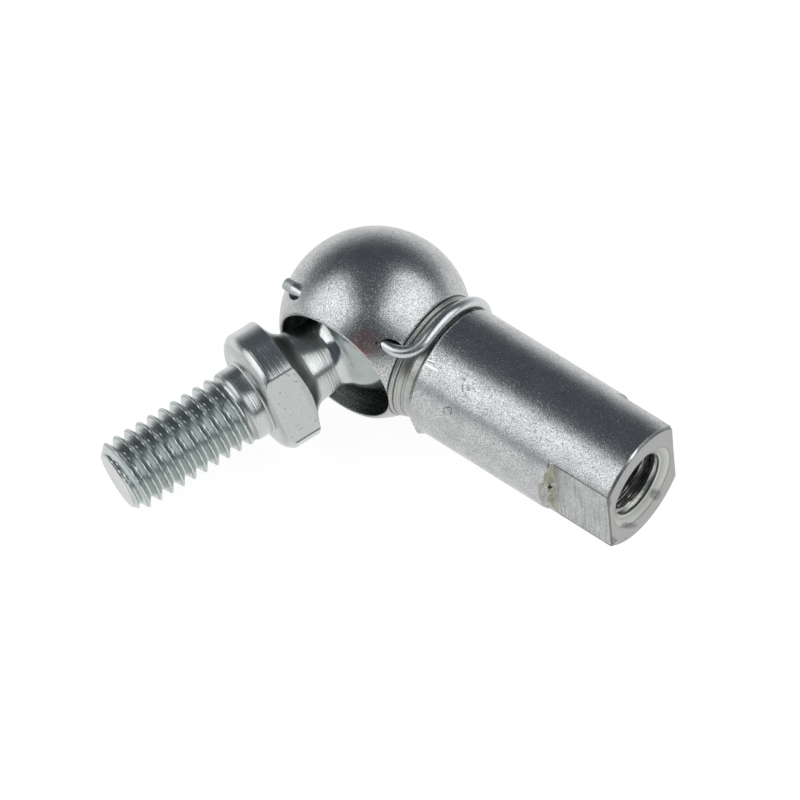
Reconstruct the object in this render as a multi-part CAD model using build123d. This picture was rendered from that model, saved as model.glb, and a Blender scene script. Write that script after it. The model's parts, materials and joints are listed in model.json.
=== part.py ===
"""Angle ball joint: tapped socket with a spherical head, threaded ball stud, snap ring and wire safety clip.

Design frame, in millimetres: the ball's centre is the origin, the shank runs along +X, the mouth of the socket
opens along +Z and +Y completes the frame. The finished pieces are then laid down as the joint comes to rest, on
its head, the rim of the shank and the tip of the stud, with the stud tilted away from the shank.
"""
from build123d import *
from math import asin, atan2, cos, hypot, radians, sin, sqrt, tan
import os

# ball stud
BALL_RADIUS = 5.0
NECK_ROOT_RADIUS = 2.1
NECK_RADIUS = 2.82
NECK_FLARE_RADIUS = 3.06
NECK_FLARE_LENGTH = 0.57
COLLAR_RADIUS = 4.87
COLLAR_THICKNESS = 2.87
COLLAR_CONE_LENGTH = 0.74
COLLAR_FLATS_ACROSS = 7.7
COLLAR_FLATS_TURN = 13.7
SEAT_HEIGHT = 10.91
SEAT_RADIUS = 3.6
SEAT_ROUND_DROP = 0.81
STUD_RADIUS = 2.93
STUD_LENGTH = 11.97
STUD_TIP_RADIUS = 2.28
STUD_TIP_LENGTH = 0.7
STUD_TILT = 19.8
STUD_TURN = 12.6

# socket head and its neck
HEAD_RADIUS = 7.2
MOUTH_HEIGHT = 4.92
BALL_CLEARANCE = 0.05
NECK_CONE_RISE = 0.625
NECK_CONE_LENGTH = 1.4
SOCKET_NECK_RADIUS = 4.65

# shank
SHANK_RADIUS = 5.08
SHANK_LENGTH = 25.1
SHANK_END_CHAMFER = 0.2
FLATS_ACROSS = 7.7
FLATS_LENGTH = 5.0
FLATS_CORNER_ROUND = 0.4
TAP_DRILL_RADIUS = 2.5
TAP_DRILL_DEPTH = 13.5
DRILL_POINT_ANGLE = 118.0
COUNTERSINK_RADIUS = 3.45

# snap ring
RING_WIRE_RADIUS = 0.4
RING_HEIGHT = 1.9
RING_BALL_CLEARANCE = 0.04
RING_SIDE_CLEARANCE = 0.05
RING_SPREAD_ROOM = 0.3
RING_GAP_ANGLE = 24.0

# safety clip
WIRE_RADIUS = 0.475
PIN_ANGLE = 37.1
PIN_BALL_CLEARANCE = 0.07
PIN_HOLE_CLEARANCE = 0.17
PIN_TIP_REACH = 1.0
CLIP_BEND_RADIUS = 1.1
HOOK_NECK_CLEARANCE = 0.05
HOOK_SIDE_CLEARANCE = 0.06
HOOK_WRAP_ANGLE = 174.0

# sizes that follow
BORE_RADIUS = BALL_RADIUS + BALL_CLEARANCE
COLLAR_BASE_HEIGHT = SEAT_HEIGHT - COLLAR_THICKNESS
COLLAR_CONE_HEIGHT = COLLAR_BASE_HEIGHT - COLLAR_CONE_LENGTH
STUD_END = SEAT_HEIGHT + STUD_LENGTH
RING_RADIUS = sqrt((BALL_RADIUS + RING_BALL_CLEARANCE + RING_WIRE_RADIUS) ** 2 - RING_HEIGHT ** 2)
PIN_DISTANCE = BALL_RADIUS + PIN_BALL_CLEARANCE + WIRE_RADIUS
PIN_Y = PIN_DISTANCE * cos(radians(PIN_ANGLE))
PIN_Z = PIN_DISTANCE * sin(radians(PIN_ANGLE))
NECK_CONE_RADIUS = SOCKET_NECK_RADIUS + NECK_CONE_RISE
NECK_X = sqrt(HEAD_RADIUS ** 2 - NECK_CONE_RADIUS ** 2)
NECK_CONE_SLOPE = atan2(NECK_CONE_RISE, NECK_CONE_LENGTH)
HOOK_RADIUS = SOCKET_NECK_RADIUS + HOOK_NECK_CLEARANCE + WIRE_RADIUS
HOOK_OFF_CONE = WIRE_RADIUS + HOOK_SIDE_CLEARANCE + (NECK_CONE_RADIUS - HOOK_RADIUS) * cos(NECK_CONE_SLOPE)
HOOK_X = NECK_X + HOOK_OFF_CONE / sin(NECK_CONE_SLOPE)
SHOULDER_X = HOOK_X + WIRE_RADIUS + HOOK_SIDE_CLEARANCE
SHOULDER_RISE = SHANK_RADIUS - SOCKET_NECK_RADIUS


def turned(outline, axis):
    """Revolve the closed half section that the given edges bound about an axis."""
    return revolve(make_face(Curve() + outline), axis=axis)


def polyline(points):
    """Edges that join the given points in order."""
    return [Line(a, b) for a, b in zip(points[:-1], points[1:])]


def make_socket():
    """Head, neck and shank in one piece: turned about +X, then bored, drilled, milled and grooved."""
    back = (-HEAD_RADIUS, 0)
    cone = (NECK_X, NECK_CONE_RADIUS)
    floor = (NECK_X + NECK_CONE_LENGTH, SOCKET_NECK_RADIUS)
    shoulder = (SHOULDER_X, SOCKET_NECK_RADIUS)
    shoulder_top = (SHOULDER_X + SHOULDER_RISE, SHANK_RADIUS)
    rim = (SHANK_LENGTH - SHANK_END_CHAMFER, SHANK_RADIUS)
    end = (SHANK_LENGTH, SHANK_RADIUS - SHANK_END_CHAMFER)
    outline = [ThreePointArc(back, (0, HEAD_RADIUS), cone)]
    outline += polyline([cone, floor, shoulder])
    outline += [TangentArc(shoulder_top, shoulder, tangent=(-1, 0))]
    outline += polyline([shoulder_top, rim, end, (SHANK_LENGTH, 0), back])
    body = turned(outline, Axis.X)
    for cut in (mouth_cut(), ball_cavity(), ring_groove(), pin_hole(), tap_drilling()):
        body -= cut
    for side in (1, -1):
        body -= flat_cutter(side)
    return body


def mouth_cut():
    """Everything beyond the flat face of the mouth, on the head's side of the shoulder."""
    width = 2 * HEAD_RADIUS
    block = Box(HEAD_RADIUS + SHOULDER_X, width, HEAD_RADIUS, align=(Align.MIN, Align.CENTER, Align.MIN))
    return Pos(-HEAD_RADIUS, 0, MOUTH_HEIGHT) * block


def ball_cavity():
    """Round seat under the ball and straight bore from the ball's centre to the mouth."""
    bore = Cylinder(BORE_RADIUS, HEAD_RADIUS, align=(Align.CENTER, Align.CENTER, Align.MIN))
    return Sphere(BORE_RADIUS) + bore


def ring_groove():
    """Groove in the bore's wall, with room for the ring to spread as the ball snaps in."""
    width = 2 * (RING_WIRE_RADIUS + RING_SIDE_CLEARANCE)
    radius = RING_RADIUS + RING_WIRE_RADIUS + RING_SPREAD_ROOM
    return Pos(0, 0, RING_HEIGHT) * Cylinder(radius, width)


def pin_hole():
    """Cross hole for the clip's straight leg, through both walls of the head."""
    length = HEAD_RADIUS + HOOK_X
    drill = Cylinder(WIRE_RADIUS + PIN_HOLE_CLEARANCE, length, align=(Align.CENTER, Align.CENTER, Align.MIN))
    return Pos(-HEAD_RADIUS, PIN_Y, PIN_Z) * Rot(0, 90, 0) * drill


def tap_drilling():
    """Countersunk blind hole at the drilled size of the shank's thread, with the drill's point."""
    bottom = SHANK_LENGTH - TAP_DRILL_DEPTH
    point = bottom - TAP_DRILL_RADIUS / tan(radians(DRILL_POINT_ANGLE / 2))
    sink = SHANK_LENGTH - (COUNTERSINK_RADIUS - TAP_DRILL_RADIUS)
    corners = [
        (point, 0),
        (bottom, TAP_DRILL_RADIUS),
        (sink, TAP_DRILL_RADIUS),
        (SHANK_LENGTH, COUNTERSINK_RADIUS),
        (SHANK_LENGTH, 0),
        (point, 0),
    ]
    return turned(polyline(corners), Axis.X)


def flat_cutter(side):
    """Milling cutter's path for one wrench flat, with the cutter's rounded corner."""
    depth = SHANK_RADIUS - FLATS_ACROSS / 2
    width = 2 * SHANK_RADIUS
    block = Box(2 * FLATS_LENGTH, width, 2 * depth, align=(Align.CENTER, Align.CENTER, Align.MIN))
    corner = block.edges().filter_by(Axis.Y).group_by(Axis.Z)[0].sort_by(Axis.X)[0]
    block = fillet(corner, min(FLATS_CORNER_ROUND, 0.9 * depth))
    cutter = Pos(SHANK_LENGTH, 0, FLATS_ACROSS / 2) * block
    return cutter if side > 0 else Rot(180, 0, 0) * cutter


def make_stud():
    """Ball, neck, collar with two wrench flats and stud along +Z, then leaned away from the shank."""
    body = turned_stud()
    for side in (1, -1):
        body -= collar_flat_cutter(side)
    return Rot(0, 0, STUD_TURN) * Rot(0, -STUD_TILT, 0) * body


def turned_stud():
    """Everything on the ball stud that is round about its own axis."""
    pole = (0, 0, -BALL_RADIUS)
    root = (NECK_ROOT_RADIUS, 0, sqrt(BALL_RADIUS ** 2 - NECK_ROOT_RADIUS ** 2))
    base = (COLLAR_RADIUS, 0, COLLAR_BASE_HEIGHT)
    rim = (COLLAR_RADIUS, 0, SEAT_HEIGHT - SEAT_ROUND_DROP)
    seat = (SEAT_RADIUS, 0, SEAT_HEIGHT)
    outline = [ThreePointArc(pole, (BALL_RADIUS, 0, 0), root)]
    outline += polyline([
        root,
        (NECK_RADIUS, 0, COLLAR_CONE_HEIGHT - NECK_FLARE_LENGTH),
        (NECK_FLARE_RADIUS, 0, COLLAR_CONE_HEIGHT),
        base,
        rim,
    ])
    outline += [TangentArc(seat, rim, tangent=(1, 0, 0))]
    outline += polyline([
        seat,
        (STUD_RADIUS, 0, SEAT_HEIGHT),
        (STUD_RADIUS, 0, STUD_END - STUD_TIP_LENGTH),
        (STUD_TIP_RADIUS, 0, STUD_END),
        (0, 0, STUD_END),
        pole,
    ])
    return turned(outline, Axis.Z)


def collar_flat_cutter(side):
    """Milling cutter's path for one of the two wrench flats on the collar."""
    block = Box(COLLAR_RADIUS, 2 * COLLAR_RADIUS, SEAT_HEIGHT, align=(Align.MIN, Align.CENTER, Align.MIN))
    cutter = Pos(COLLAR_FLATS_ACROSS / 2, 0, COLLAR_CONE_HEIGHT) * block
    return Rot(0, 0, COLLAR_FLATS_TURN if side > 0 else COLLAR_FLATS_TURN + 180) * cutter


def make_ring():
    """Open ring of round wire that sits in the groove and keeps the ball in."""
    section = Plane.XZ * Pos(RING_RADIUS, RING_HEIGHT) * Circle(RING_WIRE_RADIUS)
    return Rot(0, 0, STUD_TURN) * revolve(section, axis=Axis.Z, revolution_arc=360 - RING_GAP_ANGLE)


def make_clip():
    """Wire with a straight leg through the head, a square bend and a hook round the neck."""
    towards_neck = -sin(radians(PIN_ANGLE)), cos(radians(PIN_ANGLE))
    leave = degrees_between(HOOK_RADIUS, PIN_DISTANCE)
    touch_angle = PIN_ANGLE - leave
    end_angle = PIN_ANGLE - HOOK_WRAP_ANGLE
    touch = hook_point(touch_angle)
    pin_line = Vector(0, PIN_Y, PIN_Z)
    run = (touch - (pin_line + Vector(HOOK_X, 0, 0))).normalized()
    tip_x = -sqrt(HEAD_RADIUS ** 2 - PIN_DISTANCE ** 2) - PIN_TIP_REACH
    bend_start = pin_line + Vector(HOOK_X - CLIP_BEND_RADIUS, 0, 0)
    bend_end = pin_line + Vector(HOOK_X, 0, 0) + run * CLIP_BEND_RADIUS
    bend_centre = bend_start + run * CLIP_BEND_RADIUS
    bend_mid = bend_centre + (Vector(1, 0, 0) - run).normalized() * CLIP_BEND_RADIUS
    leg = Line(pin_line + Vector(tip_x, 0, 0), bend_start)
    bend = ThreePointArc(bend_start, bend_mid, bend_end)
    straight = Line(bend_end, touch)
    hook = ThreePointArc(touch, hook_point((touch_angle + end_angle) / 2), hook_point(end_angle))
    path = Wire([leg, bend, straight, hook])
    section = Plane(leg @ 0, z_dir=(1, 0, 0)) * Circle(WIRE_RADIUS)
    return sweep(section, path=path)


def degrees_between(radius, distance):
    """Angle at the neck's axis between an outside point and its tangent point on a circle."""
    return degrees_of(sqrt(distance ** 2 - radius ** 2), radius)


def degrees_of(rise, run):
    """Angle, in degrees, of a slope."""
    return atan2(rise, run) / radians(1)


def hook_point(angle):
    """Point of the hook's centre line at an angle from +Y towards +Z about the shank's axis."""
    return Vector(HOOK_X, HOOK_RADIUS * cos(radians(angle)), HOOK_RADIUS * sin(radians(angle)))


def dip(edges):
    """Angle below level of an axis through the head's centre, when the first of its rims touches the table."""
    return min(asin(HEAD_RADIUS / hypot(along, radius)) - atan2(radius, along) for along, radius in edges)


def stud_direction():
    """Unit vector from the ball's centre towards the stud's tip."""
    tilt, turn = radians(STUD_TILT), radians(STUD_TURN)
    return Vector(-sin(tilt) * cos(turn), -sin(tilt) * sin(turn), cos(tilt))


def rest_location():
    """Placement that stands the joint on its head, the shank's rim and the stud's tip, with both ends along X."""
    shank_rims = [
        (SHANK_LENGTH - SHANK_END_CHAMFER, SHANK_RADIUS),
        (SHANK_LENGTH, SHANK_RADIUS - SHANK_END_CHAMFER),
    ]
    stud_rims = [
        (SEAT_HEIGHT - SEAT_ROUND_DROP, COLLAR_RADIUS),
        (STUD_END - STUD_TIP_LENGTH, STUD_RADIUS),
        (STUD_END, STUD_TIP_RADIUS),
    ]
    stud = stud_direction()
    up_x = -sin(dip(shank_rims))
    share = -sin(dip(stud_rims)) - stud.X * up_x
    square = stud.Y ** 2 + stud.Z ** 2
    root = sqrt(square * (1 - up_x ** 2) - share ** 2)
    up = Vector(up_x, (share * stud.Y + stud.Z * root) / square, (share * stud.Z - stud.Y * root) / square)
    chord = Vector(SHANK_LENGTH, 0, 0) - stud * STUD_END
    across = (chord - up * chord.dot(up)).normalized()
    lie = Plane(origin=(0, 0, 0), x_dir=across, z_dir=up).location.inverse()
    return Pos(0, 0, HEAD_RADIUS) * lie


def build():
    """All pieces by node name, laid down with the origin under the middle of the joint, and that placement."""
    pieces = {
        "ball_socket": make_socket(),
        "ball_stud": make_stud(),
        "snap_ring": make_ring(),
        "safety_clip": make_clip(),
    }
    lie = rest_location()
    box = Compound([lie * piece for piece in pieces.values()]).bounding_box()
    middle = box.center()
    placement = Pos(-middle.X, -middle.Y, -box.min.Z) * lie
    return {name: placement * piece for name, piece in pieces.items()}, placement


PIECES, PLACEMENT = build()
os.makedirs("parts", exist_ok=True)
for NAME, PIECE in PIECES.items():
    PIECE.label = NAME
    export_step(PIECE, "parts/" + NAME + ".step")
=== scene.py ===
"""Angle ball joint in zinc-plated steel: a tapped socket, a ball stud, a snap ring and a wire safety clip."""
import json
import math

import bpy
import numpy as np
from bpy.props import FloatProperty, PointerProperty, StringProperty
from mathutils import Matrix, Vector


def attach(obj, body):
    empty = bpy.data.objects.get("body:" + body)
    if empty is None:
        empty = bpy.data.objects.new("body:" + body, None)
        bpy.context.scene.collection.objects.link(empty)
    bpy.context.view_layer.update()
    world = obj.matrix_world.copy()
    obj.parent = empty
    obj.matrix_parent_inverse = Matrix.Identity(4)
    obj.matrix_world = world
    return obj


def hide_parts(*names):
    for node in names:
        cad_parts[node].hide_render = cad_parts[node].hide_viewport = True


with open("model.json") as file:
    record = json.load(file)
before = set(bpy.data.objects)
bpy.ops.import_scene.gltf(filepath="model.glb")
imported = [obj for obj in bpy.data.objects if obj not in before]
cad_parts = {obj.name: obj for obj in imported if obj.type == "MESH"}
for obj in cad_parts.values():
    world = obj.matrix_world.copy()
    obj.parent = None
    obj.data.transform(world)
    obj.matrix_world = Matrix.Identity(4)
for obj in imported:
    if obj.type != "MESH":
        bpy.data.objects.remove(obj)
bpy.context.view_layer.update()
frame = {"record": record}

bl_info = {
    "name": "Angle ball joint",
    "version": (1, 0, 0),
    "blender": (4, 5, 0),
    "location": "3D View > Sidebar > Ball joint",
    "description": "Builds a zinc-plated angle ball joint with a threaded stud and a safety clip",
    "category": "Add Mesh",
}

MM = 0.001


# ---------------------------------------------------------------- frame

def joint(name):
    """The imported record's joint of that name."""
    return next(j for j in frame["record"]["behaviour"]["joints"] if j["name"] == name)


def mount(name):
    """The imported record's mount of that name."""
    return next(m for m in frame["record"]["mounts"] if m["name"] == name)


def place(x_axis, z_axis, origin):
    """Matrix from a frame in millimetres, given by its X axis, Z axis and origin, to the scene in metres."""
    z = Vector(z_axis).normalized()
    x = Vector(x_axis)
    x = (x - z * x.dot(z)).normalized()
    y = z.cross(x)
    turn = Matrix((x, y, z)).transposed().to_4x4()
    return Matrix.Translation(Vector(origin)) @ turn @ Matrix.Scale(MM, 4)


BALL_CENTRE = joint("stud_tilt")["pos_m"]
MOUTH_AXIS = joint("stud_turn")["axis"]
SHANK_AXIS = mount("shank_thread")["axis"]
STUD_AXIS = mount("stud_thread")["axis"]
STUD_SIDE = Vector(joint("stud_tilt")["axis"]).cross(Vector(STUD_AXIS))
SOCKET_PLACE = place(SHANK_AXIS, MOUTH_AXIS, BALL_CENTRE)
STUD_PLACE = place(STUD_SIDE, STUD_AXIS, BALL_CENTRE)


# ---------------------------------------------------------------- sizes and colours

def mm(name, value, about):
    """A length in millimetres that the sidebar can change."""
    return FloatProperty(name=name, description=about, default=value, min=0.0, precision=3)


def angle(name, degrees, about):
    """An angle that the sidebar can change."""
    return FloatProperty(name=name, description=about, default=math.radians(degrees), subtype="ANGLE")


def tint(name, value, about):
    """A colour in sRGB hex that the sidebar can change."""
    return StringProperty(name=name, description=about, default=value)


class SocketSizes(bpy.types.PropertyGroup):
    """Sizes of the socket, in millimetres."""
    head_radius: mm("Head radius", 7.195, "Radius of the round head")
    mouth_height: mm("Mouth height", 4.92, "Ball centre to the flat face of the mouth")
    bore_radius: mm("Bore radius", 5.05, "Radius of the seat and of the bore")
    cone_radius: mm("Cone radius", 5.1, "Radius where the head runs into the neck's cone")
    cone_length: mm("Cone length", 1.22, "Length of the cone from the head to the groove's floor")
    neck_radius: mm("Neck radius", 4.65, "Radius of the groove's floor behind the head")
    shoulder_start: mm("Shoulder start", 6.97, "Ball centre to the start of the shank's shoulder")
    shank_radius: mm("Shank radius", 5.08, "Radius of the shank")
    shank_length: mm("Shank length", 25.1, "Ball centre to the shank's end")
    end_chamfer: mm("End chamfer", 0.2, "Chamfer round the shank's end")
    flats_across: mm("Across flats", 7.7, "Distance between the two wrench flats")
    flats_length: mm("Flats length", 5.0, "Length of the wrench flats from the shank's end")
    drill_radius: mm("Tap drill radius", 2.5, "Radius at the thread's crests inside the shank")
    drill_depth: mm("Tap drill depth", 13.5, "Depth of the hole to the start of the drill's point")
    sink_radius: mm("Countersink radius", 3.45, "Radius of the countersink at the shank's end")
    sink_angle: angle("Countersink angle", 120.0, "Full angle of the countersink's cone")
    thread_depth: mm("Threaded depth", 12.0, "Depth of full thread inside the shank")
    pin_y: mm("Pin side", 4.423, "Sideways distance of the clip's leg from the ball's centre")
    pin_z: mm("Pin height", 3.345, "Distance of the clip's leg from the ball's centre towards the mouth")
    pin_hole_radius: mm("Pin hole radius", 0.585, "Radius of the cross hole for the clip")
    pin_hole_skew: angle("Pin hole skew", 1.3, "How far the cross hole was drilled off square, towards the mouth")
    pin_hole_tear: mm("Pin hole tear", 0.07, "How far the cross hole is torn wider where the leg comes out")
    groove_radius: mm("Ring groove radius", 5.797, "Radius of the snap ring's groove")
    groove_height: mm("Ring groove height", 1.9, "Ball centre to the middle of the ring's groove")
    groove_half: mm("Ring groove half width", 0.45, "Half the width of the ring's groove")
    burr_height: mm("Burr height", 0.3, "Height of the burr raised on the shoulder")


class StudSizes(bpy.types.PropertyGroup):
    """Sizes of the ball stud, in millimetres."""
    ball_radius: mm("Ball radius", 5.0, "Radius of the ball")
    root_radius: mm("Neck root radius", 3.15, "Radius of the neck where it leaves the ball")
    waist_radius: mm("Waist radius", 2.74, "Radius of the neck at its thinnest")
    waist_height: mm("Waist height", 4.9, "Ball centre to the neck's thinnest place")
    neck_radius: mm("Neck radius", 2.97, "Radius of the neck at the start of its flare")
    neck_height: mm("Neck height", 6.65, "Ball centre to the start of the neck's flare")
    collar_radius: mm("Collar radius", 4.87, "Radius of the collar")
    collar_height: mm("Collar height", 8.04, "Ball centre to the collar's edge on the ball's side")
    collar_top: mm("Collar top", 10.1, "Ball centre to the start of the collar's rounded side")
    flats_across: mm("Collar across flats", 7.7, "Distance between the collar's two wrench flats")
    flats_turn: angle("Collar flats turn", 13.7, "Turn of the collar's flats about the stud")
    seat_height: mm("Seat height", 10.91, "Ball centre to the face that seats on the lever")
    seat_radius: mm("Seat radius", 3.6, "Radius of the flat part of the seat")
    thread_radius: mm("Thread radius", 2.93, "Radius over the thread's crests")
    thread_length: mm("Stud length", 11.964, "Length of the stud beyond the seat")
    thread_pitch: mm("Thread pitch", 1.0, "Pitch of the thread")
    thread_depth: mm("Thread depth", 0.6, "Crest to root of the thread")
    thread_crest: mm("Thread crest", 20.918, "Ball centre to a crest of the thread, at the angle of nought")
    plain_length: mm("Plain length", 1.15, "Unthreaded length beside the seat")
    tip_radius: mm("Tip radius", 2.28, "Radius of the end face inside its chamfer")
    tip_length: mm("Tip chamfer length", 0.7, "Length of the chamfer at the tip")


class ClipSizes(bpy.types.PropertyGroup):
    """Sizes of the safety clip and the snap ring, in millimetres."""
    wire_radius: mm("Wire radius", 0.475, "Radius of the clip's wire")
    bend_radius: mm("Bend radius", 1.9, "Radius of the clip's square bend")
    hook_x: mm("Hook station", 6.436, "Ball centre to the plane of the hook along the shank")
    hook_radius: mm("Hook radius", 5.175, "Radius of the hook's centre line about the neck")
    tip_reach: mm("Tip reach", 0.95, "How far the leg's end stands out of the head")
    hook_wrap: angle("Hook wrap", 174.0, "Angle of the hook about the neck")
    ring_wire: mm("Ring wire radius", 0.4, "Radius of the snap ring's wire")
    ring_radius: mm("Ring radius", 5.097, "Radius of the snap ring's centre line")
    ring_gap: angle("Ring gap", 24.0, "Angle of the gap in the snap ring")
    ring_turn: angle("Ring turn", 12.6, "Turn of the snap ring in its groove")


class JointLooks(bpy.types.PropertyGroup):
    """Colours of the finishes and of the stage, as sRGB hex."""
    socket_light: tint("Socket light", "D6D7D7", "Zinc on the socket where a grain shines")
    socket_dark: tint("Socket dark", "989A9B", "Zinc on the socket where a grain is dull")
    speck_and_shade: tint("Speck", "5E5F5E", "Specks, pits and thin dark edges in the zinc")
    # This tone paints specks and pits, and also painted shade as thin dark edges.
    bruise_and_shade: tint("Bruise", "30322E", "Dark pits, and painted shade in the neck's creases and the tapped hole")
    # This tone paints pits, and also painted shade in the neck's creases and inside the tapped hole.
    scratch: tint("Scratch", "E6E8E7", "Fresh bright scratch")
    stain: tint("Stain", "C4A29D", "Warm stain of the passivation on the head")
    groove: tint("Groove", "B3B5AB", "Faintly yellowed passivation in the neck's groove")
    khaki: tint("Khaki", "85866F", "Yellow passivation under the wire's bend and where the flat runs out")
    sink: tint("Countersink", "BCBEB8", "Freshly cut zinc in the countersink")
    cut_face: tint("Cut face", "9C9D9B", "Duller zinc on the turned end and the milled flats")
    stud_light: tint("Stud light", "C8CCCB", "Zinc on the stud where it is clean")
    stud_dark: tint("Stud dark", "B9BDBB", "Zinc on the stud where it is dull")
    thread_green: tint("Thread", "BEC6C4", "Blue-green passivation held by the thread")
    # This tone is painted shade on the ball where it sits inside the socket.
    ball_shade: tint("Ball shade", "7F8F8A", "Painted shade on the ball inside the socket")
    clip_light: tint("Clip", "C6CACA", "Zinc on the clip's wire")
    ring_dark: tint("Ring", "6F7276", "Oiled spring steel of the snap ring")
    floor: tint("Floor", "7C7C7C", "Opal sheet, as far as it reflects light")


class JointSettings(bpy.types.PropertyGroup):
    """All settings of the ball joint."""
    socket: PointerProperty(type=SocketSizes)
    stud: PointerProperty(type=StudSizes)
    clip: PointerProperty(type=ClipSizes)
    looks: PointerProperty(type=JointLooks)


def settings():
    """The scene's ball joint settings."""
    return bpy.context.scene.ball_joint


# ---------------------------------------------------------------- mesh tools

def grid_mesh(name, points, matrix):
    """Mesh of a closed tube of points[row, column], with both end rows drawn together to their middle.

    Rows follow the profile and columns go round it, right-handed about the direction of the rows, which turns
    the faces outwards. The points are moved by the matrix as they are written.
    """
    rows, columns = points.shape[:2]
    flat = points.reshape(-1, 3)
    flat = np.vstack([flat, points[0].mean(axis=0), points[-1].mean(axis=0)])
    turn = np.array(matrix)
    flat = flat @ turn[:3, :3].T + turn[:3, 3]
    row, column = np.meshgrid(np.arange(rows - 1), np.arange(columns), indexing="ij")
    after = (column + 1) % columns
    quads = np.stack([
        row * columns + column,
        row * columns + after,
        (row + 1) * columns + after,
        (row + 1) * columns + column,
    ], axis=-1).reshape(-1, 4)
    ring = np.arange(columns)
    beside = (ring + 1) % columns
    first = rows * columns
    start = np.stack([np.full(columns, first), beside, ring], axis=-1)
    last = (rows - 1) * columns
    end = np.stack([np.full(columns, first + 1), last + ring, last + beside], axis=-1)
    corners = np.concatenate([quads.ravel(), start.ravel(), end.ravel()])
    totals = np.concatenate([np.full(len(quads), 4), np.full(2 * columns, 3)])
    mesh = bpy.data.meshes.new(name)
    mesh.vertices.add(len(flat))
    mesh.vertices.foreach_set("co", flat.ravel())
    mesh.loops.add(len(corners))
    mesh.loops.foreach_set("vertex_index", corners)
    mesh.polygons.add(len(totals))
    mesh.polygons.foreach_set("loop_start", np.concatenate([[0], np.cumsum(totals)[:-1]]))
    mesh.update(calc_edges=True)
    mesh.validate()
    return mesh


def new_piece(name, mesh, material):
    """Object at the origin that holds a finished mesh and its material."""
    piece = bpy.data.objects.new(name, mesh)
    bpy.context.scene.collection.objects.link(piece)
    mesh.materials.clear()
    mesh.materials.append(material)
    return piece


def spaced(start, stop, step):
    """Evenly spaced values from start to stop, about step apart, with both ends."""
    count = max(2, int(math.ceil(abs(stop - start) / step)) + 1)
    return np.linspace(start, stop, count)


def pairs(first, second):
    """Profile points from two arrays, or from an array and one value for all of it."""
    first, second = np.broadcast_arrays(first, second)
    return np.stack([first, second], axis=-1)


def blend(first, second, share):
    """Value on the way from the first to the second, by a share."""
    return first + (second - first) * share


def full_turn(columns):
    """Angles of a full turn, as one row of so many columns."""
    return np.linspace(0, 2 * math.pi, columns, endpoint=False)[None, :]


def turned(height, radius, turn, axis="X"):
    """Points at a radius and an angle about +X or +Z, at a height along it."""
    height, across, beside = np.broadcast_arrays(height, radius * np.cos(turn), radius * np.sin(turn))
    return np.stack([height, across, beside] if axis == "X" else [across, beside, height], axis=-1)


def carve(piece, name, points):
    """Cut a closed tube of points out of a piece, and stop if nothing is left of it."""
    tool = bpy.data.objects.new(name, grid_mesh(name, points, Matrix.Identity(4)))
    bpy.context.scene.collection.objects.link(tool)
    cut = piece.modifiers.new(name, "BOOLEAN")
    cut.operation = "DIFFERENCE"
    cut.solver = "EXACT"
    cut.object = tool
    graph = bpy.context.evaluated_depsgraph_get()
    mesh = bpy.data.meshes.new_from_object(piece.evaluated_get(graph))
    piece.modifiers.clear()
    piece.data = mesh
    bpy.data.objects.remove(tool)
    if not mesh.polygons:
        raise RuntimeError(f"nothing is left of {piece.name} after the {name} cut")


# Degrees between two faces beyond which their edge stays sharp.
SOCKET_CRISP = 28.0
STUD_CRISP = 34.0
WIRE_CRISP = 40.0


def finish_carving(piece, matrix, material, crisp):
    """Lay a carved piece in its place, give it its one material, and keep edges over crisp degrees sharp."""
    mesh = piece.data
    mesh.transform(matrix)
    mesh.materials.clear()
    mesh.materials.append(material)
    smooth(mesh, crisp)


def smooth(mesh, crisp):
    """Shade a mesh smooth, with edges sharper than so many degrees left crisp."""
    mesh.shade_smooth()
    mesh.set_sharp_from_angle(angle=math.radians(crisp))


# ---------------------------------------------------------------- socket

# Tool marks and small edges, in millimetres and degrees.
TOOL_LINES = (0.04, 0.45)  # beyond the start of the neck's cone
TOOL_LINE_DEPTH = 0.08
TOOL_LINE_WIDTH = 0.055
BURR_PLACE = (0.62, 117.0)  # beyond the shoulder's start, and round the shank
BURR_SPREAD = (0.28, 9.0)
RUN_OUT = 0.72  # usual length of the torn run-out of a flat
RUN_OUT_MOST = 1.35
STEP = 0.06  # length of the clean step where the other flat starts
MOUTH_EDGE = 0.07  # chamfer inside and outside the mouth
TOOL_WAVE = 0.012  # height of the boring tool's spiral
TAP_CUT = 0.55  # crest to root of the thread in the shank
DRILL_POINT = 59.0  # half angle of the drill's point


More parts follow.
